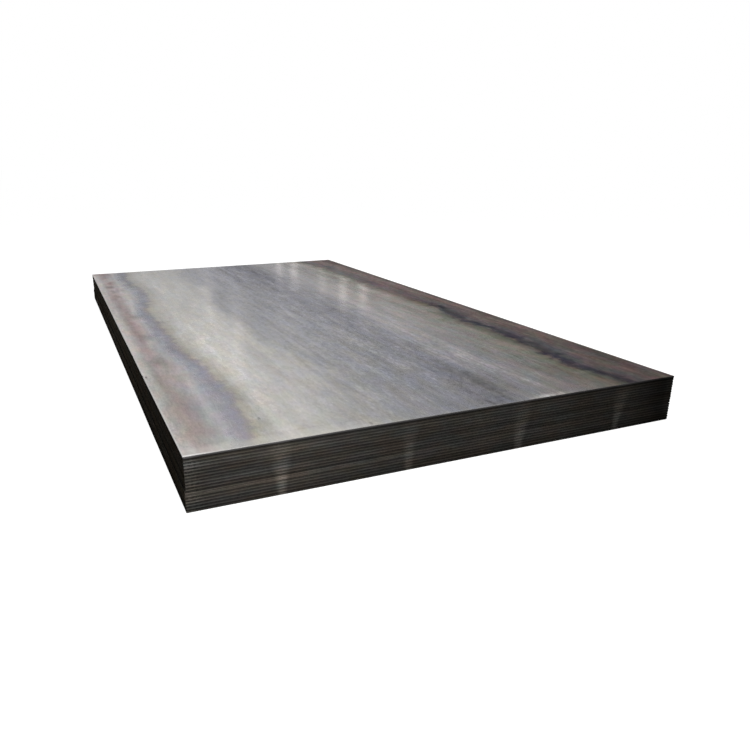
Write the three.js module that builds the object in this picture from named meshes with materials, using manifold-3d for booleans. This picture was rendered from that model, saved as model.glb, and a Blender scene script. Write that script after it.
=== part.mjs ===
// A stack of sheared steel plates, millimetres, +Z up.
// X runs across the plates and Y along them, the way they were rolled.
// The origin lies under the middle of the stack, on the surface that it stands on, and the leading ends
// face -Y.
import * as THREE from "three";
import Module from "manifold-3d";
import { mergeVertices } from "three/addons/utils/BufferGeometryUtils.js";

const wasm = await Module();
wasm.setup();

// One plate.
const plateWidth = 1220;
const plateLength = 2440;
const plateThickness = 6;

// The edge that a shear blade leaves: a rolled corner where the blade came in, a burnished land that it
// cut, then the fracture, which runs back under the land to a lightly broken corner.
const rollWidth = 1.0;
const rollDepth = 0.7;
const landDepth = 2.1;
const fractureSetBack = 0.4;
const cornerBreak = 0.2;
const rollSegments = 8;

// The stack. Plates lie on each other with the little air that their flatness leaves between them.
const plateCount = 18;
const layGap = 0.45;
const slipMost = 0.2; // how far one plate lies out of line with the stack, either way
const leanPerPlate = 0.12; // how much further to +X each plate lies than the one under it
const lowerLiftCount = 7; // the plates that were set down first
const liftShift = new THREE.Vector2(2.2, 1.4); // how far the later plates lie from the lower ones
const goldenAngle = Math.PI * (3 - Math.sqrt(5)); // spreads the slips with no repeat

// Finish of the sheared edges and of the top plate's annealed face.
const edgeFinish = { color: 0x3d3a36, roughness: 0.6, metalness: 0.6 };
const faceFinish = { color: 0x9c9b9b, roughness: 0.4, metalness: 0.85 };

// The points of one sheared edge, from the face where the blade came in to the other face.
// x is the distance in from the edge and y the depth below the first face.
function shearedEdge() {
  const roll = new THREE.EllipseCurve(rollWidth, rollDepth, rollWidth, rollDepth, -Math.PI / 2, -Math.PI, true);
  const landEnd = new THREE.Vector2(0, rollDepth + landDepth);
  const fractureEnd = new THREE.Vector2(fractureSetBack, plateThickness - cornerBreak);
  const underside = new THREE.Vector2(fractureSetBack + cornerBreak, plateThickness);
  return [...roll.getPoints(rollSegments), landEnd, fractureEnd, underside];
}

// A plate's section over a span, with a sheared edge at each end. The near edge always has its rolled
// corner on top. A slit plate has it on top at the far edge too; the tail end of a plate that was cut
// to length has it underneath, because there the blade pressed on the plate itself.
function plateSection(span, farRollOnTop) {
  const half = span / 2;
  const near = shearedEdge().map((p) => new THREE.Vector2(p.x - half, plateThickness - p.y));
  const far = shearedEdge().map((p) => new THREE.Vector2(half - p.x, farRollOnTop ? plateThickness - p.y : p.y));
  if (farRollOnTop) far.reverse();
  return new THREE.Shape([...near, ...far]);
}

// The section's X and Y become the two given axes, and it is drawn out evenly about the middle.
function drawnOut(section, length, sectionX, drawAxis) {
  const solid = new THREE.ExtrudeGeometry(section, { depth: length, bevelEnabled: false });
  solid.translate(0, 0, -length / 2);
  return solid.applyMatrix4(new THREE.Matrix4().makeBasis(sectionX, new THREE.Vector3(0, 0, 1), drawAxis));
}

function toManifold(geometry) {
  const bare = geometry.clone();
  bare.deleteAttribute("normal");
  bare.deleteAttribute("uv");
  const merged = mergeVertices(bare);
  return new wasm.Manifold(
    new wasm.Mesh({
      numProp: 3,
      vertProperties: merged.attributes.position.array,
      triVerts: new Uint32Array(merged.index.array),
    }),
  );
}

function toGeometry(manifold) {
  const mesh = manifold.getMesh();
  const geometry = new THREE.BufferGeometry();
  geometry.setAttribute("position", new THREE.BufferAttribute(mesh.vertProperties, mesh.numProp));
  geometry.setIndex(new THREE.BufferAttribute(mesh.triVerts, 1));
  geometry.computeVertexNormals();
  return geometry;
}

// A plate is what its cross section, drawn out lengthways, shares with its lengthways section, drawn
// out across. All four edges keep their own profile, and the corners are mitred as sheared ones are.
function plateGeometry() {
  const xAxis = new THREE.Vector3(1, 0, 0);
  const yAxis = new THREE.Vector3(0, 1, 0);
  const slitEdges = drawnOut(plateSection(plateWidth, true), plateLength, xAxis, yAxis.clone().negate());
  const cutEnds = drawnOut(plateSection(plateLength, false), plateWidth, yAxis, xAxis);
  return toGeometry(toManifold(slitEdges).intersect(toManifold(cutEnds)));
}

// Where plate number index lies in the stack, counted from 0 at the bottom. The lean and the step between
// the two lifts are taken evenly to both sides of the origin.
function placeInStack(index) {
  const angle = index * goldenAngle;
  const lift = index < lowerLiftCount ? -0.5 : 0.5;
  const lean = leanPerPlate * (index - (plateCount - 1) / 2);
  return new THREE.Vector3(
    slipMost * Math.sin(angle) + lift * liftShift.x + lean,
    slipMost * Math.cos(angle) + lift * liftShift.y,
    index * (plateThickness + layGap),
  );
}

function plateStack() {
  const stack = new THREE.Group();
  const geometry = plateGeometry();
  for (let index = 0; index < plateCount; index += 1) {
    const finish = index === plateCount - 1 ? faceFinish : edgeFinish;
    const plate = new THREE.Mesh(geometry, new THREE.MeshStandardMaterial(finish));
    plate.name = `plate_${String(index + 1).padStart(2, "0")}`;
    plate.position.copy(placeInStack(index));
    stack.add(plate);
  }
  return stack;
}

export default plateStack();
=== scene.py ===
# A stack of sheared steel plates. Lengths are in metres.
# X runs across the plates, Y along them, and the leading ends face -Y.
import math

import bpy
import numpy as np
from mathutils import Matrix, Vector


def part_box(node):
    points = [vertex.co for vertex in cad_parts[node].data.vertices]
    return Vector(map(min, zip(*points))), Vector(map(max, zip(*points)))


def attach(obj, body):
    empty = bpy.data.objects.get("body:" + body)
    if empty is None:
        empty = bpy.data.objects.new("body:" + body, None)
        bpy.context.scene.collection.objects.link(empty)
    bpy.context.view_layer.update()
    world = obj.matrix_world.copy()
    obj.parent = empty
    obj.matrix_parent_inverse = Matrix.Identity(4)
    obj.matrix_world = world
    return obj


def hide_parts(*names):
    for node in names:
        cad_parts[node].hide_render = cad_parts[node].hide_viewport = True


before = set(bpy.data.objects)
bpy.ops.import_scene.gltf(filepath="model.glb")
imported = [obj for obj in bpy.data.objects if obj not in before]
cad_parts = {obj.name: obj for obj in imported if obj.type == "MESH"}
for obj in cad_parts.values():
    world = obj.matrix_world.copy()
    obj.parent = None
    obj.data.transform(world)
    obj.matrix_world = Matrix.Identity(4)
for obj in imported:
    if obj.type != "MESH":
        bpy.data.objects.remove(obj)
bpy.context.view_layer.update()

# One plate's edges, as a shear or slitter leaves them.
plateShape = {
    "rollWidth": 0.001,  # rolled corner where the blade came in
    "rollDepth": 0.0007,
    "rollRows": 5,
    "landEnd": 0.0028,  # depth at which the cut land gives way to the fracture
    "boundary": 0.00008,  # half the height over which it does
    "fractureSetBack": 0.0004,
    "cornerBreak": 0.0002,
    "landWander": 0.00042,  # how far the land's end rises and falls
    "landWaves": (((20, 60), 9), ((120, 260), 9)),  # slow and quick: span of turns round the plate, and sines
    "slowShare": 0.6,
    "tearDepth": 0.00009,  # unevenness of the fracture
    "tearZones": (1, 1.9),
    "bow": 0.00012,  # how far an edge strays from straight
    "bowWaves": ((3, 20), 6),
    "bowInset": 2,  # how many bows an edge is set in by, so that none sticks out
    "step": 0.012,  # spacing of points along the edges of a covered plate
    "topStep": 0.008,  # and of the top plate
    "rim": 0.0024,  # first line of the top face, in from its edge
}

# Knocks in the top plate's left edge.
edgeNicks = {
    # Place along the edge, depth and half length, then extra lines of points, by the half length.
    "places": ((-0.439, 0.0013, 0.006), (-0.653, 0.0016, 0.008), (0.381, 0.0009, 0.005)),
    "lines": (-1.0, -0.7, -0.4, 0.0, 0.4, 0.7, 1.0),
    "zones": (0, 0.1, 1, 1.3),  # and how much of its depth a nick has in each zone of the cut
    "shares": (0.8, 1, 1, 0),
}

# The surfaces of a plate and their material slots: face, sheared end or slit edge.
surface = {"front": 0, "right": 1, "tail": 2, "left": 3, "under": 4, "upper": 5}
surfaceSlots = (1, 2, 1, 2, 0, 0)


# A wave that closes on itself round the plate: the sum of sines, each with whole turns in the given span
# and its own phase, over the root of their count.
def closedWave(station, turnsSpan, sines, rng):
    turns = rng.integers(*turnsSpan, size=sines)
    phase = rng.uniform(0, 2 * math.pi, size=sines)
    return np.sin(np.outer(station, turns) * 2 * math.pi + phase).sum(axis=1) / math.sqrt(sines)


# Inset of a sheared edge at a depth below the face where the blade came in: a quarter ellipse over the
# roll, nothing over the land, then an even slope over the fracture and a steeper one over the corner.
def edgeInset(depth, landEnd, thickness):
    shape = plateShape
    foot = thickness - shape["cornerBreak"]
    rise = np.clip(1 - depth / shape["rollDepth"], 0, 1)
    roll = shape["rollWidth"] * (1 - np.sqrt(1 - rise**2))
    fracture = shape["fractureSetBack"] * np.clip((depth - landEnd) / (foot - landEnd), 0, 1)
    return roll + fracture + np.clip(depth - foot, 0, None)


# Where a depth lies on the cut: 0 at the face to 1 at the land's end to 2 at the other face.
def cutZone(depth, landEnd, thickness):
    return np.clip(depth / landEnd, 0, 1) + np.clip((depth - landEnd) / (thickness - landEnd), 0, 1)


# Depths of the rows of points down an edge: the roll's steps, the land, the two possible ends of the land,
# the fracture, and the roll's steps again, because a tail end has its roll underneath.
def rowDepths(thickness):
    shape = plateShape
    quarter = np.linspace(0, math.pi / 2, shape["rollRows"] + 1)
    roll = shape["rollDepth"] * np.sin(quarter)
    ends = np.array([shape["landEnd"], thickness - shape["landEnd"]])
    edge = shape["boundary"]
    land = (roll[-1] + ends[0]) / 2
    middle = [land, ends[0] - edge, ends[0] + edge, ends[1] - edge, ends[1] + edge, thickness - land]
    return np.concatenate([roll, middle, thickness - roll[::-1]])


# Evenly spaced lines from -1 to 1, with one more close to each end and those over any nicks.
def unitLines(half, step, nicks=()):
    rim = plateShape["rim"]
    inner = np.linspace(-1 + rim / half, 1 - rim / half, round(2 * half / step) + 1)
    extra = [(place + line * reach) / half for place, depth, reach in nicks for line in edgeNicks["lines"]]
    return np.unique(np.concatenate([[-1], inner, extra, [1]]))


# Depth of the nicks along the left edge: each a bowl, the square of 1 less the square of how far out it is.
def nickDepth(y, nicks):
    depth = np.zeros_like(y)
    for place, most, reach in nicks:
        depth += most * np.clip(1 - ((y - place) / reach) ** 2, 0, 1) ** 2
    return depth


# The stations round a plate's edge: front, right, tail and left sides, each without its last point.
def edgeStations(linesX, linesY):
    across, along = len(linesX) - 1, len(linesY) - 1
    unitX = np.concatenate([linesX[:-1], np.ones(along), linesX[:0:-1], -np.ones(along)])
    unitY = np.concatenate([-np.ones(across), linesY[:-1], np.ones(across), linesY[:0:-1]])
    sides = [surface[name] for name in ("front", "right", "tail", "left")]
    return unitX, unitY, np.repeat(sides, [across, along, across, along])


# Rows of points down the edge, each a loop of stations, with each point's zone. The land's end wanders, the
# fracture is torn, and the edge bows a little. A tail end is the other way up.
def edgeRows(unitX, unitY, side, half, nicks, rng):
    shape = plateShape
    thickness = 2 * half[2]
    station = np.arange(len(side)) / len(side)
    tail = side == surface["tail"]
    slow, quick = [closedWave(station, *waves, rng) for waves in shape["landWaves"]]
    landShift = shape["landWander"] * (shape["slowShare"] * slow + (1 - shape["slowShare"]) * quick)
    landEnd = shape["landEnd"] + landShift
    stray = shape["bow"] * (closedWave(station, *shape["bowWaves"], rng) - shape["bowInset"])
    depths = rowDepths(thickness)[:, None]
    knots = [0, shape["rollDepth"], shape["landEnd"], thickness - shape["rollDepth"], thickness]
    give = [0, 0, 1, 0, 0]
    shifted = depths + landShift * np.interp(depths, knots, give)
    shiftedTail = depths - landShift * np.interp(thickness - depths, knots, give)
    depth = np.where(tail, shiftedTail, shifted)
    tears = shape["tearDepth"] * rng.uniform(0, 1, size=depth.shape)
    zone = cutZone(np.where(tail, thickness - depth, depth), landEnd, thickness)
    first, last = shape["tearZones"]
    loss = np.where((zone > first) & (zone < last), tears, 0) - stray * (zone > 0)
    nick = np.where(side == surface["left"], nickDepth(unitY * half[1], nicks), 0)
    nick = nick * np.interp(zone, edgeNicks["zones"], edgeNicks["shares"])
    sideInset = edgeInset(depth, landEnd, thickness)
    tailInset = edgeInset(thickness - depth, landEnd, thickness)
    frontY, tailY = sideInset - half[1], half[1] - tailInset
    outX, outY = [np.where(np.abs(unit) == 1, unit, 0) for unit in (unitX, unitY)]
    x = unitX * (half[0] - sideInset) - outX * (loss + nick)
    y = frontY + (unitY + 1) / 2 * (tailY - frontY) - outY * loss
    return np.stack([x, y, half[2] - depth], axis=2), zone


# A closed ladder over the loop of points: rungs join the long sides, and the first and last rungs fan out
# to the points of the short sides.
def ladderFaces(loop, across, along):
    right = loop[across : across + along + 1]
    back = loop[across + along : 2 * across + along + 1]
    left = np.append(loop[2 * across + along :], loop[0])[::-1]
    rungs = np.stack([left[1:-2], right[1:-2], right[2:-1], left[2:-1]], axis=1)
    fans = []
    middle = across // 2
    for side, end in ((loop[: across + 1], 1), (back[::-1], -2)):
        leftRung, rightRung = left[end], right[end]
        near = np.stack([side[:middle], side[1 : middle + 1], np.full(middle, leftRung)], axis=1)
        far = np.stack([side[middle:-1], side[middle + 1 :], np.full(across - middle, rightRung)], axis=1)
        fans.append(np.concatenate([near, far, [[side[middle], rightRung, leftRung]]]))
    fans[1] = fans[1][:, ::-1]
    return rungs, np.concatenate(fans)


# Low waves from the mill in the top face, and where they level out towards its edges.
millWaves = {
    "depth": 0.0003,
    "slow": ((5.3, 1.9, 0.4), (-2.2, 3.1, 0.0)),  # turns across and along in radians a metre, and phase
    "quick": ((11.0, -6.1, 1.3), (0.0, 8.7, 0.9)),
    "shares": (0.5, 0.32, 0.18),  # level, slow and quick
    "ease": 0.1,
}


# How deep the top face lies under its rim: products of two sines, eased to nothing at the edges.
def millSag(x, y, half):
    waves = millWaves
    level, slow, quick = waves["shares"]
    swell = level
    for share, pair in ((slow, waves["slow"]), (quick, waves["quick"])):
        (acrossOne, alongOne, phaseOne), (acrossTwo, alongTwo, phaseTwo) = pair
        one = np.sin(acrossOne * x + alongOne * y + phaseOne)
        swell = swell + share * one * np.sin(acrossTwo * x + alongTwo * y + phaseTwo)
    easeX, easeY = [np.clip((limit - np.abs(at)) / waves["ease"], 0, 1) for at, limit in zip((x, y), half)]
    return waves["depth"] * easeX * easeY * swell


# The top face: a grid inside the loop of rim points, which are its outer line.
def topGrid(linesX, linesY, half, rimLoop, firstIndex):
    across, along = len(linesX) - 1, len(linesY) - 1
    gridX, gridY = np.meshgrid(linesX[1:-1], linesY[1:-1])
    gridX, gridY = gridX * (half[0] - plateShape["rollWidth"]), gridY * half[1]
    inside = np.stack([gridX, gridY, half[2] - millSag(gridX, gridY, half)], axis=2).reshape(-1, 3)
    index = np.empty((along + 1, across + 1), dtype=np.int64)
    index[1:-1, 1:-1] = firstIndex + np.arange(gridX.size).reshape(gridX.shape)
    index[0, :] = rimLoop[: across + 1]
    index[:, -1] = rimLoop[across : across + along + 1]
    index[-1, ::-1] = rimLoop[across + along : 2 * across + along + 1]
    index[::-1, 0] = np.append(rimLoop[2 * across + along :], rimLoop[0])
    faces = np.stack([index[:-1, :-1], index[:-1, 1:], index[1:, 1:], index[1:, :-1]], axis=2)
    return inside, faces.reshape(-1, 4)


# A plate's flat map, for its finish: a strip for each surface, one over the other, by share of the height.
flatMap = {
    "name": "OFBake",
    "covered": (0.15, 0.15, 0.15, 0.15, 0.175, 0.175),
    "top": (0.045, 0.045, 0.045, 0.045, 0.04, 0.73),
    "spacing": 0.05 / 7,  # seven gaps share the rest
}


# An edge lies along its strip with its depth across it, and a face with its width across it.
def flatPlaces(points, corners, surfaces, half, onTop):
    heights, spacing = np.array(flatMap["top" if onTop else "covered"]), flatMap["spacing"]
    starts = np.cumsum(heights + spacing) - heights
    x, y, z = np.clip((points[corners] / half + 1) / 2, 0, 1).T
    along = np.where((surfaces == surface["front"]) | (surfaces == surface["tail"]), x, y)
    across = np.where(surfaces < surface["under"], z, x)
    up = starts[surfaces] + heights[surfaces] * across
    return np.stack([spacing + (1 - 2 * spacing) * along, up], axis=1)


# One plate with its sheared edges. The top plate gets a fine upper face and the nicks.
def makePlate(name, low, high, rng, toneAndShade, onTop):
    shape = plateShape
    half = (np.array(high) - np.array(low)) / 2
    middle = (np.array(high) + np.array(low)) / 2
    step, nicks = (shape["topStep"], edgeNicks["places"]) if onTop else (shape["step"], ())
    linesX, linesY = unitLines(half[0], step), unitLines(half[1], step, nicks)
    across, along = len(linesX) - 1, len(linesY) - 1
    unitX, unitY, side = edgeStations(linesX, linesY)
    rows, zone = edgeRows(unitX, unitY, side, half, nicks, rng)
    body = np.arange(zone.size).reshape(zone.shape)
    after = np.roll(np.arange(len(side)), -1)
    edge = np.stack([body[:-1], body[1:], body[1:][:, after], body[:-1][:, after]], axis=2).reshape(-1, 4)
    under = [cap[:, ::-1] for cap in ladderFaces(body[-1], across, along)]
    upper = list(ladderFaces(body[0], across, along))
    points, zones = rows.reshape(-1, 3), zone.ravel()
    if onTop:
        inside, top = topGrid(linesX, linesY, half, body[0], len(points))
        points, zones = np.concatenate([points, inside]), np.append(zones, np.zeros(len(inside)))
        upper = [top]
    surfaces = [np.tile(side, len(rows) - 1)]
    for key, caps in (("under", under), ("upper", upper)):
        surfaces.append(np.full(sum(len(cap) for cap in caps), surface[key]))
    surfaces = np.concatenate(surfaces)
    smooth = (surfaces < surface["under"]) | ((surfaces == surface["upper"]) & onTop)
    groups = [edge] + under + upper
    sizes = np.concatenate([np.full(len(group), group.shape[1]) for group in groups])
    corners = np.concatenate([group.ravel() for group in groups])
    flat = flatPlaces(points, corners, np.repeat(surfaces, sizes), half, onTop)
    attributes = {"cutZone": zones, "edgeToneAndShade": np.full(len(zones), toneAndShade)}
    slots = np.array(surfaceSlots)[surfaces]
    return meshPiece(name, points + middle, corners, sizes, slots, smooth, attributes, flat)


def meshPiece(name, points, corners, sizes, slots, smooth, attributes, flat):
    mesh = bpy.data.meshes.new(name)
    mesh.vertices.add(len(points))
    mesh.vertices.foreach_set("co", points.astype(np.float32).ravel())
    mesh.loops.add(len(corners))
    mesh.loops.foreach_set("vertex_index", corners.astype(np.int32))
    mesh.polygons.add(len(sizes))
    mesh.polygons.foreach_set("loop_start", (np.cumsum(sizes) - sizes).astype(np.int32))
    mesh.update(calc_edges=True)
    mesh.polygons.foreach_set("material_index", slots.astype(np.int32))
    mesh.polygons.foreach_set("use_smooth", smooth)
    for key, values in attributes.items():
        mesh.attributes.new(key, "FLOAT", "POINT").data.foreach_set("value", values.astype(np.float32))
    mesh.uv_layers.new(name=flatMap["name"]).uv.foreach_set("vector", flat.astype(np.float32).ravel())
    if mesh.validate():
        raise ValueError(f"{name} has bad faces")
    return addObject(name, mesh)


def addObject(name, data):
    made = bpy.data.objects.new(name, data)
    bpy.context.scene.collection.objects.link(made)
    return made


# New nodes go to the tree of the material or world that was started last.
started = {}


def startNodes(owner):
    owner.use_nodes = True
    owner.node_tree.nodes.clear()
    started["tree"] = owner.node_tree
    return owner


# A node with its settings and inputs. A socket is linked, and anything else is a value.
def addNode(kind, inputs=None, **settings):
    made = started["tree"].nodes.new(f"ShaderNode{kind}")
    for key, value in settings.items():
        setattr(made, key, value)
    for key, value in (inputs or {}).items():
        if isinstance(value, bpy.types.NodeSocket):
            started["tree"].links.new(value, made.inputs[key])
        else:
            made.inputs[key].default_value = value
    return made


def newMaterial(name):
    return startNodes(bpy.data.materials.new(name))


def calc(operation, *values):
    return addNode("Math", dict(enumerate(values)), operation=operation).outputs[0]


def product(first, *more):
    for value in more:
        first = calc("MULTIPLY", first, value)
    return first


# The value's place between two limits, 0 to 1, with a smooth start and end.
def between(value, start, end):
    inputs = {"Value": value, "From Min": start, "From Max": end}
    return addNode("MapRange", inputs, interpolation_type="SMOOTHSTEP").outputs["Result"]


# 1 at the middle, falling smoothly to 0 at the half width on either side.
def ridge(value, middle, halfWidth):
    away = calc("ABSOLUTE", calc("SUBTRACT", value, middle))
    return between(away, halfWidth, 0.0)


# Noise about 0.5, with the given count of grains in a metre along each axis.
def grain(place, perMetre, detail, offset):
    spread = addNode("Mapping", {"Vector": place, "Scale": perMetre, "Location": offset})
    inputs = {"Vector": spread.outputs[0], "Scale": 1.0, "Detail": detail}
    return addNode("TexNoise", inputs).outputs["Fac"]


# The noise less its middle, times the amount, plus the level that it varies about.
def vary(place, perMetre, detail, offset, amount, level=1.0):
    noise = grain(place, perMetre, detail, offset)
    return calc("MULTIPLY_ADD", noise, amount, level - amount / 2)


def strayed(place, value, stray):
    return calc("ADD", value, vary(place, *stray, level=0.0))


# The noise's place between two limits.
def patches(place, perMetre, detail, offset, limits):
    return between(grain(place, perMetre, detail, offset), *limits)


# A wave along the plate: height times the cosine of the distance from a crest, one turn in each span.
def swell(along, height, crest, span):
    turn = product(calc("SUBTRACT", along, crest), 2 * math.pi / span)
    return product(calc("COSINE", turn), height)


def ramp(factor, stops):
    made = addNode("ValToRGB", {"Fac": factor})
    keys = made.color_ramp.elements
    while len(keys) < len(stops):
        keys.new(1.0)
    for key, (position, colour) in zip(keys, stops):
        key.position = position
        key.color = (*colour, 1)
    return made.outputs["Color"]


# A plain value that runs evenly from stop to stop, in a ramp.
def curve(factor, stops):
    return ramp(factor, [(position, (value,) * 3) for position, value in stops])


# A mix of two colours, at sockets 6 and 7.
def blend(factor, first, second):
    made = addNode("Mix", {0: factor}, data_type="RGBA")
    for slot, value in ((6, first), (7, second)):
        if isinstance(value, bpy.types.NodeSocket):
            started["tree"].links.new(value, made.inputs[slot])
        else:
            made.inputs[slot].default_value = (*value, 1)
    return made.outputs[2]


# A mix of two values, at sockets 2 and 3.
def mixValue(factor, first, second):
    return addNode("Mix", {0: factor, 2: first, 3: second}).outputs[0]


def dim(colour, amount):
    return addNode("VectorMath", {0: colour, "Scale": amount}, operation="SCALE").outputs[0]


# The colour made brighter by the amount, or darker, where the mask is 1.
def gained(colour, mask, amount):
    return dim(colour, calc("MULTIPLY_ADD", mask, amount, 1.0))


def multiplied(colour, other):
    return addNode("VectorMath", {0: colour, 1: other}, operation="MULTIPLY").outputs[0]


def attributeOf(name):
    return addNode("Attribute", attribute_name=name).outputs["Fac"]


def placeOf():
    place = addNode("TexCoord").outputs["Object"]
    return place, addNode("SeparateXYZ", {0: place}).outputs


# Noise as height, with the bump's strength and depth.
def bumped(place, perMetre, detail, offset, strength, depth):
    inputs = {"Height": grain(place, perMetre, detail, offset), "Strength": strength, "Distance": depth}
    return addNode("Bump", inputs).outputs[0]


specularLevel = 0.0  # film and scale have no shine of their own over the metal


def finishMaterial(inputs):
    inputs["Specular IOR Level"] = specularLevel
    shader = addNode("BsdfPrincipled", inputs)
    addNode("OutputMaterial", {"Surface": shader.outputs["BSDF"]})


# Detail and limits of the patches in which one hue of a pair gives way to the other.
tintGrain = (3.0, (0.35, 0.65))


def tintOf(place, one, other, perMetre, offset):
    detail, limits = tintGrain
    return blend(patches(place, perMetre, detail, offset, limits), one, other)


# Temper colours of a box-annealed face. Bands run along the plate, by share of its width from the left.
# The left half is lighter than the right: partly the film's own colour, partly painted light falling off from
# the left.
temperBands = (
    (0.0, (0.62, 0.575, 0.545)),  # bare grey at the edge
    (0.016, (0.545, 0.505, 0.475)),
    (0.028, (0.462, 0.392, 0.374)),
    (0.04, (0.44, 0.366, 0.352)),  # mauve
    (0.054, (0.505, 0.462, 0.438)),
    (0.068, (0.528, 0.51, 0.49)),
    (0.08, (0.462, 0.456, 0.466)),
    (0.093, (0.368, 0.365, 0.396)),
    (0.107, (0.285, 0.282, 0.33)),  # blue film
    (0.119, (0.318, 0.3, 0.292)),
    (0.128, (0.462, 0.438, 0.366)),  # straw
    (0.152, (0.53, 0.513, 0.456)),
    (0.3, (0.415, 0.41, 0.396)),
    (0.35, (0.372, 0.372, 0.376)),
    (0.43, (0.35, 0.35, 0.363)),  # mill grey
    (0.52, (0.308, 0.308, 0.328)),
    (0.59, (0.248, 0.247, 0.273)),
    (0.64, (0.315, 0.312, 0.326)),
    (0.7, (0.415, 0.398, 0.39)),  # warm grey
    (0.78, (0.366, 0.353, 0.327)),
    (0.845, (0.294, 0.281, 0.228)),  # straw, seen as olive
    (0.874, (0.206, 0.192, 0.154)),
    (0.896, (0.128, 0.115, 0.11)),  # heavy film
    (0.92, (0.128, 0.113, 0.122)),
    (0.942, (0.168, 0.132, 0.124)),
    (0.968, (0.19, 0.144, 0.131)),  # mauve brown
    (1.0, (0.128, 0.102, 0.094)),
)

# Noises are given by grains a metre, detail and offset, then how much they move or the limits of patches.
faceFinish = {
    # Waves in the bands, left, right, and right on the near half only: height as a share of the width,
    # crest and span along the plate.
    "waves": ((0.016, 0.586, 1.39), (0.012, -0.2, 2.4), (0.01, -0.146, 0.51)),
    "nearHalf": (0.1, -0.2),
    "steady": (0.03, 0.09),  # the share of the width under which no band strays
    "handOver": (0.35, 0.75),  # and over which the left wave gives way to the right ones
    # Further strays of the left and of the right bands: place along the plate, reach and amount.
    "leftStrays": (
        (1.2, 0.2, 0.022),
        (0.8, 0.13, -0.005),
        (0.25, 0.3, -0.015),
        (-0.4, 0.16, -0.007),
        (-0.95, 0.35, 0.004),
    ),
    "rightStrays": (
        (1.19, 0.12, -0.02),
        (0.92, 0.12, 0.011),
        (0.6, 0.16, 0.009),
        (-0.42, 0.2, -0.009),
        (-0.68, 0.14, -0.013),
        (-1.06, 0.17, -0.019),
    ),
    "wiggles": (
        ((1.1, 1.5, 0), 2.0, (0, 0, 0), 0.016),
        ((5, 8, 0), 2.0, (3.7, 0, 0), 0.026),
        ((16, 24, 0), 2.0, (7.4, 0, 0), 0.034),
    ),
    # Clean pale steel: its colour, its left border, and its right border at the far and the near end.
    "pale": (0.662, 0.645, 0.586),
    "paleLeft": (0.128, 0.182),
    "paleFar": (0.335, 0.285),
    "paleNear": (0.44, 0.165),
    "paleChange": (0.15, -0.75),
    "paleStreaks": ((16, 4.5, 0), 2.0, (6, 6, 0), 0.055),
    # Mauve patches along the left edge: the patches, and the middle and reach of their strip.
    "mauve": (0.315, 0.243, 0.228),
    "mauvePatches": ((16, 9, 0), 2.5, (7, 1.7, 0), (0.44, 0.62)),
    "mauveBand": (0.042, 0.03),
    "mauveMost": (0.3, 0.95),  # at the near end and at the far one
    "mauveAlong": (-0.6, 0.9),
    "line": (0.036, 0.034, 0.05),  # the dark line by the right border, on the near half
    "lineBand": (0.897, 0.028),
    "lineRagged": ((26, 22, 0), 3.0, (1, 8, 0), 0.05),
    "lineBreaks": ((9, 7, 0), 2.0, (5, 5, 0), (0.35, 0.6)),
    "lineKept": (0.62, 1.0),  # how strong it is in a break and out of it
    "lineEnd": (-0.98, -1.1, 0.85),  # where it gets fainter and is faintest, and how strong it still is
    "lineAlong": (0.1, -0.25),
    # Tints that come and go: the two hues of a pair with grains a metre and offset, and how strong the pair
    # is by share of the width.
    "tints": (
        (((1.022, 0.997, 0.968), (0.98, 1.0, 1.026), (20, 5, 0), (4, 9, 0)), ((0.0, 1.0), (1.0, 1.0))),
        (
            ((1.0, 1.0, 0.93), (1.0, 1.0, 1.075), (34, 12, 0), (2, 3, 0)),
            ((0.0, 0.6), (0.25, 0.6), (0.4, 0.8)),
        ),
        (
            ((1.12, 0.95, 1.0), (0.89, 1.04, 1.0), (30, 14, 0), (9, 5, 0)),
            ((0.06, 0.4), (0.12, 0.24), (0.34, 0.06), (0.6, 0.08), (0.74, 0.45), (0.84, 0.75), (0.92, 0.9)),
        ),
    ),
    "cloudGrain": ((20, 2.4, 0), 3.0, (6, 1, 0), 0.75),  # how strongly the clouds show from place to place
    "roughness": 0.15,
    "roughGrain": ((60, 4, 0), 2.0, (9, 9, 0), 0.35),
    "filmRoughness": 0.18,  # added where the film is heavy, inside the borders below
    "filmLeft": (0.13, 0.06),
    "filmRight": (0.85, 0.91),
    "specularTint": (0.62, 0.62, 0.64),
    # How metallic the face looks, from heavy film to bare steel, and how bright each of them is.
    "metallic": (0.2, 0.95),
    "filmBright": (0.02, 0.42),
    # The rim's colour, partly wear and partly a painted highlight.
    "wornRimAndGlint": (0.64, 0.63, 0.61),
    "rimReach": (0.0045, 0.001),  # from the edge to where the rim ends and where it is full
    "rimShare": (0.6, 0.4),  # the left rim's share of the width
    # A painted glint on the leading rim by the left corner: its colour, and how far it reaches from the end
    # and by share.
    "paintedGlint": (0.86, 0.85, 0.835),
    "paintedGlintReach": ((0.0085, 0.0035), (0.06, 0.008)),
}

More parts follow.
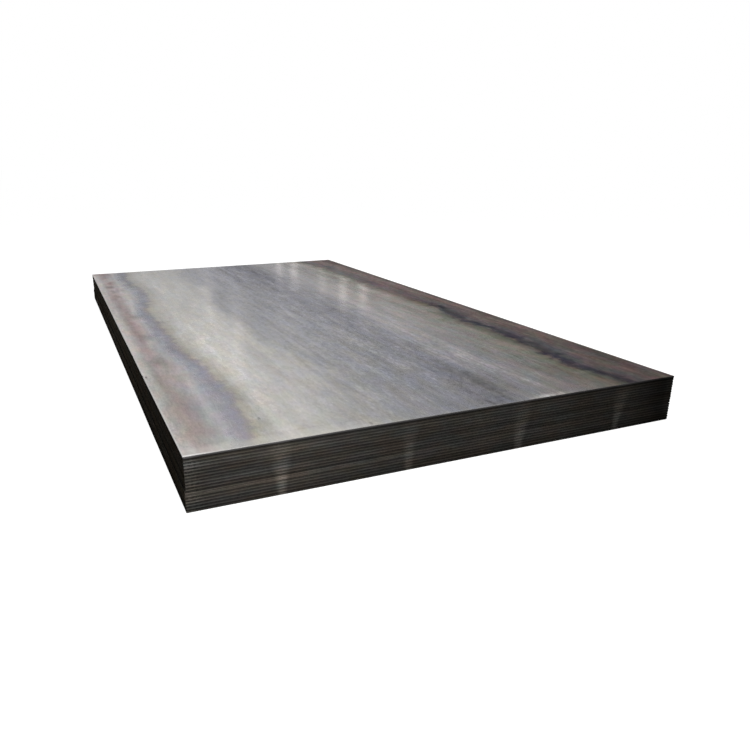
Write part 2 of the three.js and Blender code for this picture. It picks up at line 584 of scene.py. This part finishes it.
# Darker and lighter clouds in the film: share of the width, place along the plate, the reach in each, and
# how much darker or lighter.
faceClouds = (
    (0.58, 1.1, 0.15, 0.85, -0.3),
    (0.6, 0.0, 0.06, 0.5, -0.08),
    (0.62, -1.1, 0.11, 0.42, -0.42),
    (0.66, 0.3, 0.05, 0.34, -0.18),
    (0.77, 0.22, 0.05, 0.22, 0.12),
    (0.46, -0.75, 0.06, 0.55, 0.18),
    (0.67, -0.34, 0.07, 0.42, 0.14),
    (0.2, 0.72, 0.06, 0.85, 0.12),
    (0.84, 1.21, 0.06, 0.1, -0.26),
    (0.5, 0.55, 0.07, 0.55, -0.18),
    (0.45, -0.15, 0.06, 0.8, 0.22),
    (0.39, 0.66, 0.035, 0.26, 0.24),
    (0.68, -0.38, 0.06, 0.3, 0.42),
    (0.75, 0.65, 0.06, 0.6, 0.14),
    (0.1, 1.25, 0.06, 0.5, -0.22),
    (0.28, -1.22, 0.17, 0.36, -0.14),
    (0.0, -1.1, 0.06, 0.9, -0.18),
    (0.54, 0.85, 0.05, 0.4, 0.2),
    (0.54, -0.38, 0.045, 0.25, 0.18),
    (0.38, -0.7, 0.035, 0.7, 0.13),
    (0.74, 0.93, 0.05, 0.22, 0.2),
    (0.74, -0.25, 0.05, 0.4, 0.18),
    # By the leading end, with the line that is worn pale along it.
    (0.62, -1.08, 0.09, 0.2, -0.15),
    (0.52, -1.2, 0.1, 0.12, -0.36),
    (0.655, -1.19, 0.045, 0.08, 0.44),
    (0.815, -1.12, 0.05, 0.2, -0.3),
    (0.855, -1.21, 0.03, 0.05, -0.3),
    (0.33, -1.05, 0.05, 0.25, -0.08),
    (0.28, -1.222, 0.16, 0.026, 0.24),
    (0.52, -1.222, 0.16, 0.026, 0.28),
    (0.682, -1.222, 0.085, 0.034, 1.45),
    # Along the right edge.
    (0.93, 1.2, 0.16, 0.45, -0.08),
    (0.95, -0.1, 0.07, 0.45, -0.12),
    (0.84, -0.95, 0.09, 0.8, -0.22),
    (0.86, -1.2, 0.2, 0.5, -0.28),
    (0.874, -0.64, 0.03, 0.75, -0.36),
    (0.938, -0.45, 0.045, 0.55, -0.26),
    (0.955, -1.0, 0.06, 0.6, -0.18),
    (0.88, -1.08, 0.04, 0.14, 0.34),
    (0.876, -0.955, 0.03, 0.08, 0.9),
    (0.908, -0.29, 0.018, 0.06, -0.34),
    (0.84, 0.58, 0.03, 0.13, -0.36),
    (0.815, 0.46, 0.024, 0.12, -0.24),
    (0.94, 1.07, 0.06, 0.1, 0.2),
    (0.95, 0.6, 0.06, 0.6, 0.14),
    (1.0, 0.1, 0.022, 1.5, -0.45),
    (0.86, -1.13, 0.03, 0.1, -0.16),
    (0.912, 0.24, 0.03, 0.14, 0.26),
    (0.92, -0.34, 0.05, 0.16, -0.14),
    # Mauve bars that lie across the left edge, and paler steel between them.
    (0.02, 1.22, 0.06, 0.09, -0.36),
    (0.01, 0.12, 0.02, 0.3, 0.14),
    (0.062, 0.68, 0.016, 0.12, 0.26),
    (0.062, -1.13, 0.024, 0.1, -0.12),
    (0.13, -0.59, 0.022, 0.12, 0.16),
    (0.038, 1.13, 0.024, 0.09, -0.26),
    (0.045, 0.805, 0.036, 0.07, -0.32),
    (0.066, 0.5, 0.018, 0.36, 0.18),
    (0.06, 0.11, 0.05, 0.075, -0.34),
    (0.052, -0.22, 0.034, 0.08, -0.34),
    (0.048, -0.53, 0.034, 0.09, -0.36),
    (0.046, -0.94, 0.034, 0.17, -0.24),
    (0.062, -1.0, 0.024, 0.16, -0.18),
    (0.06, -1.16, 0.04, 0.12, -0.14),
    # Small dark spots.
    (0.1517, -1.077, 0.004, 0.013, -0.6),
    (0.0057, -0.666, 0.0036, 0.016, -0.85),
    (0.3188, -1.204, 0.0046, 0.012, -0.62),
)

# Places where the film leans to another hue, given in the same way.
faceHues = (
    (0.86, 0.12, 0.09, 0.24, (1.1, 0.96, 0.99)),
    (0.92, 0.34, 0.08, 0.16, (1.11, 0.95, 0.98)),
    (0.9, 0.78, 0.07, 0.26, (0.94, 1.02, 0.955)),
    (0.84, 1.0, 0.06, 0.22, (1.06, 0.97, 1.0)),
    (0.93, -0.9, 0.05, 0.34, (0.935, 1.02, 1.01)),
    (0.93, -0.5, 0.05, 0.24, (0.925, 1.02, 1.0)),
    (0.03, 1.2, 0.05, 0.14, (1.075, 0.97, 0.99)),
    (0.055, -0.08, 0.035, 0.26, (1.06, 0.97, 0.965)),
    (0.03, -0.84, 0.05, 0.34, (0.955, 1.012, 1.0)),
    (0.112, 0.79, 0.026, 0.17, (1.0, 1.0, 0.85)),
    (0.115, 0.24, 0.032, 0.17, (1.035, 1.0, 0.88)),
    (0.118, -0.5, 0.022, 0.15, (1.05, 0.985, 0.9)),
    (0.075, -0.85, 0.035, 0.34, (0.975, 0.99, 1.05)),
    (0.25, -0.9, 0.15, 0.5, (0.995, 0.998, 1.055)),
    (0.5, 0.9, 0.25, 0.6, (1.005, 1.0, 1.075)),
    (0.76, 0.1, 0.11, 0.85, (1.05, 1.0, 0.935)),
    (0.52, -0.55, 0.11, 0.45, (1.005, 1.0, 0.95)),
    (0.7, -0.92, 0.13, 0.28, (0.99, 1.0, 1.055)),
    (0.9, 0.02, 0.04, 0.28, (1.08, 0.98, 1.0)),
    (0.895, -0.1, 0.035, 0.11, (1.08, 0.99, 0.9)),
    (0.93, 0.05, 0.07, 0.4, (1.02, 1.0, 0.94)),
    (0.905, -1.06, 0.025, 0.1, (0.93, 1.02, 1.01)),
    (0.79, -1.16, 0.1, 0.14, (1.05, 0.985, 0.995)),
    (0.02, -0.56, 0.018, 0.16, (0.93, 1.03, 1.0)),
    (0.04, -1.12, 0.03, 0.12, (0.95, 1.02, 1.0)),
)

# Marks in the face, from broad mottling to the fine marks of the rolls.
faceMarks = (
    ((2.6, 1.1, 0), 2.0, (1, 4, 0), 0.2),
    ((8, 1.0, 0), 2.0, (5, 2, 0), 0.26),
    ((22, 1.7, 0), 2.0, (0, 7, 0), 0.36),
    ((26, 8, 0), 2.0, (8, 3, 0), 0.26),
    ((70, 6, 0), 2.0, (2, 8, 0), 0.29),
    ((64, 24, 0), 2.0, (1, 6, 0), 0.2),
    ((150, 40, 0), 2.0, (3, 5, 0), 0.32),
    ((340, 90, 0), 1.0, (4, 4, 0), 0.3),
)
# How strongly they show, by share of the width, over most of the face and by the leading end.
markStrength = {
    "most": (
        (0.04, 1.5), (0.1, 1.3), (0.16, 1.4), (0.25, 1.15), (0.34, 1.7), (0.43, 2.4), (0.52, 3.0),
        (0.62, 2.5), (0.7, 1.95), (0.76, 2.1), (0.82, 2.7), (0.88, 2.5), (0.94, 2.9),
    ),
    "end": (
        (0.04, 1.8), (0.1, 1.15), (0.16, 1.3), (0.22, 0.95), (0.28, 1.15), (0.34, 1.4), (0.42, 2.5),
        (0.52, 3.4), (0.64, 3.9), (0.7, 3.0), (0.82, 3.4), (0.88, 2.0), (0.94, 2.4),
    ),
    "top": 4.0,  # more than any of them, as a ramp holds values up to 1
    "along": (-0.3, -1.0),  # over which the one gives way to the other
}

# A faint dark line across the face near the leading end, and paler steel between it and the end on the left.
nearEndLine = {
    "fromEnd": 0.046,
    "halfWidth": 0.0018,
    "left": (0.16, 0.2),  # share of the width over which it starts
    "right": (0.83, 0.79),
    "strength": -0.16,
    "bareFromEnd": (0.05, 0.02),
    "bareShare": (0.45, 0.12),
    "bareStrength": 0.45,
}
faceGrain = ((240, 8, 0), 2.0, (2, 6, 0), 0.1, 0.00004)  # noise, then the bump's strength and depth
plainWhite = (1.0, 1.0, 1.0)


# Temper bands with their waves, the pale steel, the mauve patches and the dark line.
def temperColour(place, y, share):
    finish = faceFinish
    left, right, rightNear = [swell(y, *wave) for wave in finish["waves"]]
    right = calc("MULTIPLY_ADD", rightNear, between(y, *finish["nearHalf"]), right)
    left, right = strayedAlong(y, left, "leftStrays"), strayedAlong(y, right, "rightStrays")
    sway = mixValue(between(share, *finish["handOver"]), left, right)
    for wiggle in finish["wiggles"]:
        sway = strayed(place, sway, wiggle)
    sway = product(sway, between(share, *finish["steady"]))
    swayed = calc("SUBTRACT", share, sway)
    colour = ramp(swayed, temperBands)
    near = between(y, *finish["paleChange"])
    streaked = strayed(place, swayed, finish["paleStreaks"])
    farEdge, nearEdge = [between(streaked, *finish[key]) for key in ("paleFar", "paleNear")]
    pale = product(mixValue(near, farEdge, nearEdge), between(swayed, *finish["paleLeft"]))
    colour = blend(pale, colour, finish["pale"])
    most = mixValue(between(y, *finish["mauveAlong"]), *finish["mauveMost"])
    mauve = patches(place, *finish["mauvePatches"])
    mauve = product(mauve, ridge(swayed, *finish["mauveBand"]), most)
    colour = blend(mauve, colour, finish["mauve"])
    line = ridge(strayed(place, swayed, finish["lineRagged"]), *finish["lineBand"])
    broken = mixValue(patches(place, *finish["lineBreaks"]), *finish["lineKept"])
    start, full, kept = finish["lineEnd"]
    broken = product(broken, mixValue(between(y, start, full), 1.0, kept))
    line = product(line, between(y, *finish["lineAlong"]), broken)
    colour = blend(line, colour, finish["line"])
    return tinted(place, share, colour), swayed


def strayedAlong(y, value, key):
    for middle, reach, amount in faceFinish[key]:
        value = calc("MULTIPLY_ADD", ridge(y, middle, reach), amount, value)
    return value


def tinted(place, share, colour):
    for pair, strength in faceFinish["tints"]:
        hue = blend(curve(share, strength), plainWhite, tintOf(place, *pair))
        colour = multiplied(colour, hue)
    return colour


# 1 at the middle of a cloud, falling to 0 at its reach across and along.
def cloudAt(share, y, middleShare, middleY, reachShare, reachY):
    return product(ridge(share, middleShare, reachShare), ridge(y, middleY, reachY))


def clouded(place, y, share, colour):
    shade = 1.0
    for *middleAndReach, amount in faceClouds:
        cloud = cloudAt(share, y, *middleAndReach)
        shade = product(calc("MULTIPLY_ADD", cloud, amount, 1.0), shade)
    for *middleAndReach, hue in faceHues:
        colour = multiplied(colour, blend(cloudAt(share, y, *middleAndReach), plainWhite, hue))
    shade = calc("POWER", shade, vary(place, *faceFinish["cloudGrain"]))
    marks = 1.0
    for mark in faceMarks:
        marks = product(marks, vary(place, *mark))
    strengths = []
    for key in ("most", "end"):
        stops = [(position, value / markStrength["top"]) for position, value in markStrength[key]]
        strengths.append(curve(share, stops))
    strength = mixValue(between(y, *markStrength["along"]), *strengths)
    marks = calc("POWER", marks, product(strength, markStrength["top"]))
    return dim(colour, product(shade, marks))


def markedEnd(fromEnd, share, colour):
    mark = nearEndLine
    inside = product(*[between(share, *mark[key]) for key in ("left", "right")])
    line = product(ridge(fromEnd, mark["fromEnd"], mark["halfWidth"]), inside)
    colour = gained(colour, line, mark["strength"])
    bare = product(between(fromEnd, *mark["bareFromEnd"]), between(share, *mark["bareShare"]))
    return blend(product(bare, mark["bareStrength"]), colour, faceFinish["pale"])


# How bright the rim is, partly from wear and partly a painted highlight: full on the left, and on the leading
# end only near the left corner.
def rimWearAndGlint(toSide, fromEnd, share):
    side, end = [between(reach, *faceFinish["rimReach"]) for reach in (toSide, fromEnd)]
    side = product(side, between(share, *faceFinish["rimShare"]))
    return calc("MAXIMUM", side, product(end, rimGlintAcross(share)))


# Painted highlight: the leading end's rim is bright by the left corner and fades across the plate, as the
# light falls off.
rimGlintFade = {"near": (0.3, 0.04), "far": (0.97, 0.5), "farShare": 0.22}


def rimGlintAcross(share):
    near, far = between(share, *rimGlintFade["near"]), between(share, *rimGlintFade["far"])
    return mixValue(near, product(far, rimGlintFade["farShare"]), 1.0)


def annealedFace(low, high):
    finish = faceFinish
    material = newMaterial("annealed face")
    place, (x, y, _) = placeOf()
    fromLeft, fromEnd = calc("SUBTRACT", x, low.x), calc("SUBTRACT", y, low.y)
    share = calc("DIVIDE", fromLeft, high.x - low.x)
    colour, swayed = temperColour(place, y, share)
    colour = clouded(place, y, share, colour)
    colour = markedEnd(fromEnd, share, colour)
    bright = addNode("RGBToBW", {"Color": colour}).outputs[0]
    metallic = mixValue(between(bright, *finish["filmBright"]), *finish["metallic"])
    colour = blend(rimWearAndGlint(fromLeft, fromEnd, share), colour, finish["wornRimAndGlint"])
    # Painted glint on the leading rim by the left corner.
    endReach, sideReach = finish["paintedGlintReach"]
    glintMask = product(between(fromEnd, *endReach), between(share, *sideReach))
    colour = blend(glintMask, colour, finish["paintedGlint"])
    film = calc("MAXIMUM", *[between(swayed, *finish[key]) for key in ("filmLeft", "filmRight")])
    rough = calc("MULTIPLY_ADD", film, finish["filmRoughness"], finish["roughness"])
    inputs = {
        "Base Color": colour,
        "Roughness": product(rough, vary(place, *finish["roughGrain"])),
        "Metallic": metallic,
        "Specular Tint": (*finish["specularTint"], 1),
        "Normal": bumped(place, *faceGrain),
    }
    finishMaterial(inputs)
    return material


# The faces between the plates, of which only a ledge and the underside show: near black, partly oily, dark
# mill scale and partly painted shade.
coveredFinish = {
    "colour": (0.014, 0.013, 0.012),
    "roughness": 0.6,
    "blotches": ((7, 3, 0), 3.0, (0, 0, 0), 0.5),
}


def coveredFace():
    finish = coveredFinish
    material = newMaterial("covered face")
    base = addNode("RGB")
    base.outputs[0].default_value = (*finish["colour"], 1)
    colour = dim(base.outputs[0], vary(placeOf()[0], *finish["blotches"]))
    finishMaterial({"Base Color": colour, "Roughness": finish["roughness"]})
    return material


# A cut edge: rolled corner, burnished land, torn fracture and the corner under it. First what is the ends'
# own, then what is the slit edges' own, and then what they share.
endFinish = {
    "name": "sheared end",
    "roll": (0.02, 0.0185, 0.0164),
    # The land is painted dark, a painted reflection of dark surroundings, and the fracture lighter, as if lit
    # by the floor.
    "land": (0.017, 0.0158, 0.014),
    "fracture": (0.067, 0.062, 0.0542),
    "under": (0.006, 0.006, 0.005),
    "roughness": (0.38, 0.62),  # of the land and of the fracture
    # Lighter upright bands across the ends, at the foot and the top of the stack: place across, half
    # width, and how much brighter it is.
    "uprightBands": (
        ((-0.606, 0.024, 0.42), (-0.606, 0.024, 0.42)),
        ((-0.422, 0.009, 1.6), (-0.419, 0.021, 0.3)),
        ((-0.139, 0.009, 1.05), (-0.133, 0.018, 0.15)),
        ((0.146, 0.011, 1.25), (0.156, 0.024, 0.3)),
        ((0.433, 0.008, 1.6), (0.45, 0.024, 0.25)),
    ),
    # Painted shade across the ends, in steps that darken them towards the right corner, as if the light fell
    # off
    # from the left: where each starts and is full across, and how much it takes.
    "shadeSteps": (
        (-0.48, -0.1, 0.16),
        (-0.38, -0.27, 0.08),
        (-0.03, 0.04, -0.12),
        (0.17, 0.22, -0.11),
        (0.27, 0.32, 0.15),
        (0.46, 0.585, 0.58),
        (0.58, 0.6, -0.5),
    ),
    # Lines where the two lifts meet, with painted light on the lower lift, which sticks out, and painted
    # shade at the step; then lighter and darker levels higher up: middle and half height, where each starts
    # and is full across, and how much brighter or darker it is.
    "levels": (
        ((0.0373, 0.0021), (0.02, -0.28), 1.6),
        ((0.0373, 0.0021), (-0.16, -0.24), -0.2),
        ((0.0373, 0.0021), (-0.36, -0.46), 0.28),
        ((0.0436, 0.0022), (-0.05, -0.3), -0.45),
        ((0.1, 0.013), (0.4, 0.1), 0.14),
        ((0.097, 0.013), (-0.49, -0.42), 0.4),
        ((0.097, 0.013), (-0.37, -0.28), -0.27),
        ((0.0985, 0.0105), (-0.53, -0.6), 0.55),
        ((0.0815, 0.011), (-0.26, -0.36), -0.1),
        ((0.082, 0.018), (-0.44, -0.49), -0.2),
        ((0.082, 0.018), (-0.55, -0.59), 0.24),
    ),
    # A smear that evens out the cut: its colour, where it starts and is full, and how much it covers.
    "smear": ((0.046, 0.0425, 0.037), (-0.8, -0.45), 0.3),
    # Dark nicks in the land by the left corner: colour, where they start and are full across and by share of
    # the cut's depth, how dark they are, and their patches.
    "corner": (
        (0.004, 0.004, 0.004), (-0.56, -0.59), (0.6, 0.42), 0.55,
        ((190, 190, 150), 1.0, (2, 2, 6), (0.4, 0.56)),
    ),
    "tail": (1.0, 1.0),  # how bright it is by the leading end and towards the tail
    "foot": 0.85,  # how much of its brightness the edge keeps where it meets the floor
}
slitFinish = {
    "name": "slit edge",
    "roll": (0.046, 0.0395, 0.031),
    "land": (0.091, 0.0795, 0.062),
    "fracture": (0.047, 0.0405, 0.0315),
    "under": (0.008, 0.008, 0.007),
    "roughness": (0.6, 0.75),
    "tail": (0.8, 1.8),
    "foot": 0.35,
}
cutFinish = {
    # The colours by share of the cut's depth, and where the land's roughness gives way to the fracture's.
    # The near-black under colour at the top and the foot of each cut is painted shade in the gap between the
    # plates.
    "stops": (
        (0.0, "under"), (0.06, "roll"), (0.14, "land"), (0.37, "land"),
        (0.45, "fracture"), (0.86, "fracture"), (0.97, "under"),
    ),
    "roughZones": (0.48, 0.52),
    "tailReach": (-1.2, 0.3),
    # The fade of the upright bands on the ends:
    "bandFade": (1.5, 0.2),  # where a rub ends and where it is full, by its half width
    # The stack's upper rim is bright, partly from handling and partly a painted highlight, which on the
    # leading ends fades across from the left corner.
    "wornRimAndGlint": (0.66, 0.65, 0.63),
    "rimDepth": (0.0008, 0.0003),  # under the stack's top, where the worn rim ends and where it is full
    "rimWearAndGlint": 0.6,
    "rimRoughness": 0.3,
    "shoulder": ((0.069, 0.0655, 0.0665), (0.0058, 0.0018)),  # the duller wear under that, and its depths
    "tints": (  # the two hues of each pair, grains a metre and offset
        ((1.055, 0.99, 0.93), (0.955, 1.0, 1.075), (14, 14, 40), (4, 1, 9)),
        ((1.035, 0.985, 1.0), (0.965, 1.015, 1.0), (24, 24, 70), (7, 2, 3)),
    ),
    # Painted shade where the edges meet the floor, and how far up it reaches:
    "footShadeReach": (0.002, 0.022),  # how far up the dirt of the floor reaches
    "marks": (  # scores up the land, then blotches
        ((900, 900, 40), 2.0, (0, 0, 0), 0.6),
        ((16, 16, 130), 3.0, (3, 1, 4), 0.7),
        ((120, 120, 300), 2.0, (6, 2, 1), 0.5),
    ),
    "tear": ((500, 500, 700), 3.0, (0, 0, 0), 0.4, 0.0001),  # noise, then the bump's strength and depth
}


# Lighter upright bands as a gain over the plain edge. Each narrows and grows brighter from the top to the
# foot.
def bandGain(x, up):
    gain = 1.0
    for foot, top in endFinish["uprightBands"]:
        middle, halfWidth, most = [mixValue(up, *pair) for pair in zip(foot, top)]
        away = calc("DIVIDE", calc("ABSOLUTE", calc("SUBTRACT", x, middle)), halfWidth)
        gain = calc("MULTIPLY_ADD", between(away, *cutFinish["bandFade"]), most, gain)
    return gain


# The leading ends' smear and their dark corner.
def smeared(place, x, share, colour):
    smear, reach, most = endFinish["smear"]
    colour = blend(product(between(x, *reach), most), colour, smear)
    dark, reach, depths, most, nicks = endFinish["corner"]
    corner = product(between(x, *reach), between(share, *depths))
    return blend(product(corner, patches(place, *nicks), most), colour, dark)


# The leading ends' upright bands, levels, and painted shade in steps across them.
def endBandsAndShade(x, z, top, colour):
    colour = dim(colour, bandGain(x, between(z, 0.0, top)))
    for level, reach, most in endFinish["levels"]:
        colour = gained(colour, product(ridge(z, *level), between(x, *reach)), most)
    for start, full, most in endFinish["shadeSteps"]:
        colour = gained(colour, between(x, start, full), -most)
    return colour


def cutEdge(finish, low, high):
    material = newMaterial(finish["name"])
    place, (x, y, z) = placeOf()
    zone, toneAndShade = [attributeOf(name) for name in ("cutZone", "edgeToneAndShade")]
    share = product(zone, 0.5)  # the zones run from 0 to 2
    leading = finish is endFinish
    colour = ramp(share, [(position, finish[key]) for position, key in cutFinish["stops"]])
    if leading:
        colour = smeared(place, x, share, colour)
    for pair in cutFinish["tints"]:
        colour = multiplied(colour, tintOf(place, *pair))
    marks = [vary(place, *mark) for mark in cutFinish["marks"]]
    tail = mixValue(between(y, *cutFinish["tailReach"]), *finish["tail"])
    # Each plate's tone, partly random and partly painted light and shade.
    colour = dim(colour, product(toneAndShade, tail, *marks))
    # Painted shade where the edges meet the floor.
    colour = dim(colour, mixValue(between(z, *cutFinish["footShadeReach"]), finish["foot"], 1.0))
    shoulder, depths = cutFinish["shoulder"]
    colour = blend(between(z, *[high.z - depth for depth in depths]), colour, shoulder)
    rim = between(z, *[high.z - depth for depth in cutFinish["rimDepth"]])
    rim = product(rim, cutFinish["rimWearAndGlint"])
    if leading:
        colour = endBandsAndShade(x, z, high.z, colour)
        across = calc("DIVIDE", calc("SUBTRACT", x, low.x), high.x - low.x)
        # The painted highlight fades across the leading end.
        rim = product(rim, rimGlintAcross(across))
    rough = curve(share, list(zip(cutFinish["roughZones"], finish["roughness"])))
    inputs = {
        "Base Color": blend(rim, colour, cutFinish["wornRimAndGlint"]),
        "Roughness": mixValue(rim, rough, cutFinish["rimRoughness"]),
        "Metallic": rim,
        "Normal": bumped(place, *cutFinish["tear"]),
    }
    finishMaterial(inputs)
    return material


# How bright a plate's cut edges are beside the others, with painted light and shade: the top one is much
# darker and the next a little; the upper two of the lower lift, which stick out a little, are painted
# lighter, as if lit; the lowest of the upper lift gets painted shade from the step, and the bottom one
# painted shade by the floor. The others differ at random.
edgeToneAndLight = {
    "plate_18": 0.24,
    "plate_17": 0.86,
    "plate_08": 0.9,
    "plate_07": 1.2,
    "plate_06": 1.15,
    "plate_01": 0.8,
}
toneSpread = 0.14

plateNames = sorted(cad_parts)
lowest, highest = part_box(plateNames[-1])
faceMaterial = annealedFace(lowest, highest)
coveredMaterial = coveredFace()
endMaterial, slitMaterial = [cutEdge(finish, lowest, highest) for finish in (endFinish, slitFinish)]
for number, node in enumerate(plateNames):
    low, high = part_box(node)
    onTop = node == plateNames[-1]
    rng = np.random.default_rng(number + 1)
    toneAndShade = edgeToneAndLight.get(node, 1 + toneSpread * rng.uniform(-1, 1))
    piece = makePlate(f"{node}_steel", low, high, rng, toneAndShade, onTop)
    for material in (faceMaterial if onTop else coveredMaterial, endMaterial, slitMaterial):
        piece.data.materials.append(material)
    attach(piece, "root")
    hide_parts(node)
print("plates made:", len(plateNames))

cameraPlace = {
    "lens": 33.468,
    "shiftY": 0.0645,
    "place": (-0.7716, -2.4435, 0.6275),
    "yaw": 0.4254,  # turned from +Y towards +X
    "pitch": 0.3611,  # looking down
    "roll": 0.0039,
}


# The camera's axes from yaw and pitch: forward, level with the floor, and down as their product. The roll
# then turns the last two about forward.
def addCamera():
    place = cameraPlace
    yaw, pitch, roll = place["yaw"], place["pitch"], place["roll"]
    forward = Vector((math.sin(yaw) * math.cos(pitch), math.cos(yaw) * math.cos(pitch), -math.sin(pitch)))
    level = Vector((math.cos(yaw), -math.sin(yaw), 0))
    down = forward.cross(level)
    right = math.cos(roll) * level + math.sin(roll) * down
    up = right.cross(forward)
    data = bpy.data.cameras.new("camera")
    data.lens = place["lens"]
    data.shift_y = place["shiftY"]
    camera = addObject("camera", data)
    axes = Matrix((right, up, -forward)).transposed().to_4x4()
    camera.matrix_world = Matrix.Translation(place["place"]) @ axes
    bpy.context.scene.camera = camera


studio = {
    "level": 0.14,  # plain light from all round
    "floorColour": 0.2,
    "floorHalf": 40.0,
    "backdropRadius": 30.0,
    "backdropHeight": 45.0,
    "backdropPosts": 61,
    # Brightness of the backdrop by heading in degrees, from +Y towards +X.
    "backdropShades": ((-40, 1.0), (8, 1.0), (20, 0.9), (32, 0.74), (45, 0.5), (75, 0.42), (110, 1.0)),
    "horizonHeights": (2.4, 7.0),  # the backdrop is darker under these, down to the share below
    "horizonShade": 0.62,
}


# 1 for the camera, reflections and see-through rays, and 0 for the rest.
def seenDirectly():
    path = addNode("LightPath").outputs
    seen = calc("MAXIMUM", path["Is Camera Ray"], path["Is Glossy Ray"])
    return calc("MAXIMUM", seen, path["Is Transmission Ray"])


def addWorld():
    world = startNodes(bpy.data.worlds.new("studio"))
    inputs = {0: seenDirectly()}
    for slot, strength in ((1, studio["level"]), (2, 1.0)):
        light = addNode("Background", {"Color": (*plainWhite, 1), "Strength": strength})
        inputs[slot] = light.outputs[0]
    mixed = addNode("MixShader", inputs)
    addNode("OutputWorld", {"Surface": mixed.outputs[0]})
    bpy.context.scene.world = world


def stageObject(name, points, faces, material):
    mesh = bpy.data.meshes.new(name)
    mesh.from_pydata(points, [], faces)
    mesh.materials.append(material)
    made = addObject(name, mesh)
    return made


# The floor takes the stack's shadow, and its own glow brings the rest of it up to white.
def addFloor():
    material = newMaterial("floor")
    diffuse = addNode("BsdfDiffuse", {"Color": (*[studio["floorColour"]] * 3, 1)})
    strength = product(seenDirectly(), 1 - studio["floorColour"] * studio["level"])
    glow = addNode("Emission", {"Color": (*plainWhite, 1), "Strength": strength})
    both = addNode("AddShader", {0: diffuse.outputs[0], 1: glow.outputs[0]})
    addNode("OutputMaterial", {"Surface": both.outputs[0]})
    half = studio["floorHalf"]
    corners = [(-half, -half, 0), (half, -half, 0), (half, half, 0), (-half, half, 0)]
    stageObject("floor", corners, [(0, 1, 2, 3)], material)


# A graduated backdrop that only reflections see: an upright strip bent to an arc, with a heading for each
# of its posts. Its shade runs evenly from heading to heading and falls off towards the horizon.
def addBackdrop():
    material = newMaterial("backdrop")
    x, y, z = placeOf()[1]
    heading = calc("ARCTAN2", x, y)
    shades = [(math.radians(degrees), shade) for degrees, shade in studio["backdropShades"]]
    first, last = shades[0][0], shades[-1][0]
    inputs = {"Value": heading, "From Min": first, "From Max": last}
    share = addNode("MapRange", inputs).outputs[0]
    stops = [((angle - first) / (last - first), shade) for angle, shade in shades]
    strength = mixValue(between(z, *studio["horizonHeights"]), studio["horizonShade"], 1.0)
    glow = addNode("Emission", {"Color": curve(share, stops), "Strength": strength})
    addNode("OutputMaterial", {"Surface": glow.outputs[0]})
    posts = studio["backdropPosts"]
    headings = np.linspace(first, last, posts)
    radius, height = studio["backdropRadius"], studio["backdropHeight"]
    foot = np.stack([np.sin(headings) * radius, np.cos(headings) * radius, np.zeros(posts)], axis=1)
    points = np.concatenate([foot, foot + (0, 0, height)])
    post = np.arange(posts - 1)
    faces = np.stack([post, post + 1, post + posts + 1, post + posts], axis=1)
    arc = stageObject("backdrop", points.tolist(), faces.tolist(), material)
    for ray in ("camera", "diffuse", "transmission", "shadow"):
        setattr(arc, f"visible_{ray}", False)


# Lamps that the steel does not mirror.
lamps = {
    "key": {"place": (-0.5, -1.9, 0.75), "aim": (-0.5, -1.22, 0.06), "size": (0.2, 0.7), "radiance": 29.0},
    "overhead": {"place": (-0.35, -1.1, 2.5), "aim": (-0.35, -1.1, 0.0), "size": (1.4, 2.0), "radiance": 3.5},
    "behind": {"place": (0.8, 3.2, 2.0), "aim": (0.2, 1.0, 0.1), "size": (1.6, 1.6), "radiance": 5.0},
    "right": {"place": (2.6, 0.4, 1.8), "aim": (0.5, 0.0, 0.1), "size": (1.6, 1.6), "radiance": 4.0},
}

# Strip lamps far behind, seen as soft streaks in the top face: heading and height of the middle as the
# camera sees it mirrored, width and height, all in degrees, and radiance.
strips = (
    (16.7, 7.6, 0.45, 1.4, 1.75),
    (17.88, 7.4, 0.45, 1.6, 1.95),
    (20.1, 8.9, 0.5, 2.0, 0.8),
    (21.8, 9.3, 0.54, 2.1, 1.72),
    (23.47, 9.4, 0.57, 2.3, 1.56),
    (25.5, 9.0, 0.5, 0.8, 1.0),
    (11.0, 10.3, 0.7, 1.6, 0.75),
    (13.05, 12.6, 0.8, 2.4, 0.65),
    (11.7, 15.5, 3.2, 4.5, 0.15),
)
stripColour = (1.0, 0.93, 0.91)
stripDistance = 20.0


# A lamp's power is its radiance times pi times its area.
def addLamp(name, place, aim, size, radiance, mirrored=False):
    data = bpy.data.lights.new(name, "AREA")
    data.shape = "RECTANGLE"
    data.size, data.size_y = size
    data.energy = radiance * math.pi * size[0] * size[1]
    lamp = addObject(name, data)
    towards = Vector(aim) - Vector(place)
    lamp.matrix_world = Matrix.Translation(place) @ towards.to_track_quat("-Z", "Y").to_matrix().to_4x4()
    lamp.visible_camera = False
    lamp.visible_glossy = mirrored
    return lamp


# A strip stands at its heading from the camera, as high as the top face mirrors it from.
def addStrip(number, heading, height, wide, high, radiance, mirrorHeight):
    x, y, z = cameraPlace["place"]
    turn, reach = math.radians(heading), stripDistance
    rise = 2 * mirrorHeight - z + reach * math.tan(math.radians(height))
    place = (x + reach * math.sin(turn), y + reach * math.cos(turn), rise)
    size = (reach * math.radians(wide), reach * math.radians(high))
    lamp = addLamp(f"strip {number}", place, (0.0, 0.0, mirrorHeight), size, radiance, mirrored=True)
    lamp.data.color = stripColour
    lamp.visible_diffuse = False


def addStudio():
    addWorld()
    addFloor()
    addBackdrop()
    for name, lamp in lamps.items():
        addLamp(name, **lamp)
    for number, strip in enumerate(strips):
        addStrip(number, *strip, highest.z)


addCamera()
addStudio()
bpy.context.scene.view_settings.view_transform = "Standard"
print("camera and studio made")
